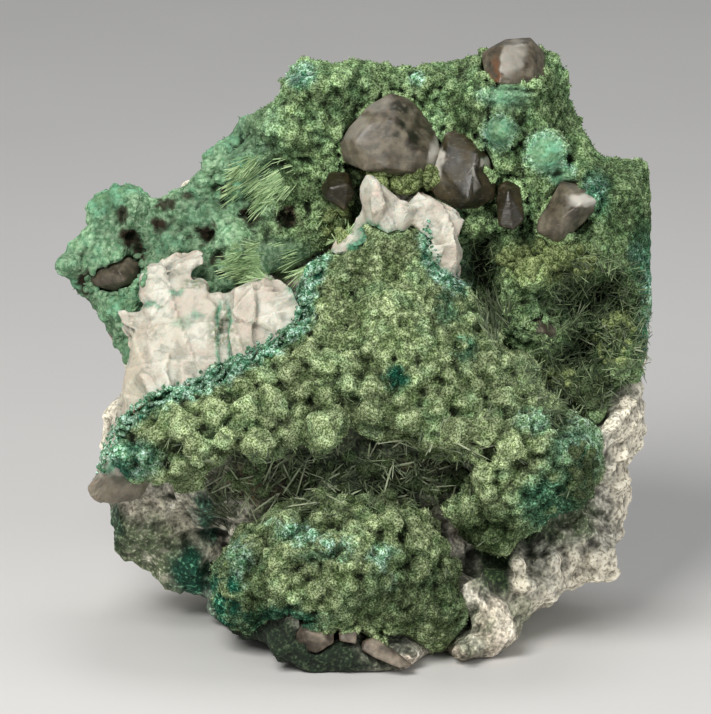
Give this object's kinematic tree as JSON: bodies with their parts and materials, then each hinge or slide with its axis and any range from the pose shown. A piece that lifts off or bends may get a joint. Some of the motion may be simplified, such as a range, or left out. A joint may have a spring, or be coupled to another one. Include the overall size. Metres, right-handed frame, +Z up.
{
  "type": "mineral specimen",
  "caption": "Free-standing broken rock specimen: lumpy green secondary-mineral crusts over pale dolomite, with smoky quartz crystals and cleaved dolomite blocks standing out of them.",
  "frame": {"origin": "middle of the specimen's bounding box in X and Y, on the surface that it stands on", "axes": "+Z up, -Y towards the front of the display face, which leans back by 15 degrees, +X to the right of a person who looks at that face"},
  "size_m": [0.085, 0.0582, 0.0829],
  "materials": {
    "rock": "pale granular dolomite rock, matt",
    "dolomite": "pinkish white cleaved dolomite, satin",
    "malachite_crust": "lumpy mint and sage green crust, matt with a fine sparkle",
    "kolwezite_crust": "lumpy olive green crust, velvety",
    "smoky_quartz": "translucent grey-brown crystal, glossy faces"
  },
  "bodies": {
    "root": {"host_rock": "rock", "dolomite_ledge": "dolomite", "dolomite_peak": "dolomite", "upper_crust": "malachite_crust", "main_crust": "kolwezite_crust", "lower_crust": "kolwezite_crust", "quartz_crest": "smoky_quartz", "quartz_large": "smoky_quartz", "quartz_dark": "smoky_quartz", "quartz_small": "smoky_quartz", "quartz_brown": "smoky_quartz", "quartz_right": "smoky_quartz", "quartz_wing": "smoky_quartz", "quartz_hollow": "smoky_quartz", "quartz_foot_left": "smoky_quartz", "quartz_foot_middle": "smoky_quartz", "quartz_foot_right": "smoky_quartz"}
  },
  "joints": []
}
